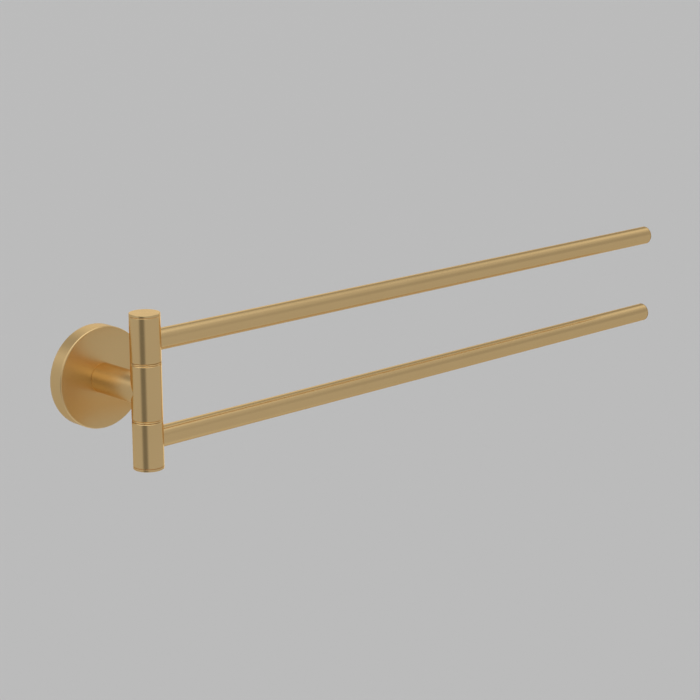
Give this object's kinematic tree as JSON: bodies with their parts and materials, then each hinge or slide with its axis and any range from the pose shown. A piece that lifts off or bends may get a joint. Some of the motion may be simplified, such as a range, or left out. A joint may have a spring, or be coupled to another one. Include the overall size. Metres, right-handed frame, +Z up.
{
  "type": "swing-arm towel rack",
  "caption": "Wall-mounted towel rack with a round rosette, a short stem and an upright column whose top and bottom each swing a long tubular arm.",
  "frame": {"origin": "centre of the rosette on the wall face, midway between the two wall screws", "axes": "+Y into the wall, -Y out into the room, +X along both arms as folded flat to the wall, +Z up along the column"},
  "size_m": [0.4334, 0.0529, 0.081],
  "materials": {
    "brushed_gold": "fine satin brushing, gold PVD over brass",
    "plated_steel": "zinc plated, dull",
    "bronze": "plain sintered bronze"
  },
  "bodies": {
    "bracket": {"wall_plate": "plated_steel", "rosette": "brushed_gold", "rosette_grub_screw": "plated_steel", "stem": "brushed_gold", "stem_screw": "plated_steel", "stem_washer": "plated_steel", "stem_stud": "plated_steel", "centre_hub": "brushed_gold", "spindle": "plated_steel", "upper_friction_washer": "brushed_gold", "lower_friction_washer": "brushed_gold", "upper_disc_spring": "plated_steel", "lower_disc_spring": "plated_steel", "upper_lock_nut": "plated_steel", "lower_lock_nut": "plated_steel"},
    "upper_arm": {"upper_hub": "brushed_gold", "upper_inner_bush": "bronze", "upper_outer_bush": "bronze", "upper_arm_tube": "brushed_gold", "upper_spigot": "plated_steel", "upper_end_cap": "brushed_gold", "top_cap": "brushed_gold"},
    "lower_arm": {"lower_hub": "brushed_gold", "lower_inner_bush": "bronze", "lower_outer_bush": "bronze", "lower_arm_tube": "brushed_gold", "lower_spigot": "plated_steel", "lower_end_cap": "brushed_gold", "bottom_cap": "brushed_gold"}
  },
  "joints": [
    {"name": "upper_swivel", "type": "hinge", "parent": "bracket", "child": "upper_arm", "pos_m": [0, -0.045, 0], "axis": [0, 0, 1], "range_deg": [-185, 5]},
    {"name": "lower_swivel", "type": "hinge", "parent": "bracket", "child": "lower_arm", "pos_m": [0, -0.045, 0], "axis": [0, 0, 1], "range_deg": [-185, 5]}
  ]
}
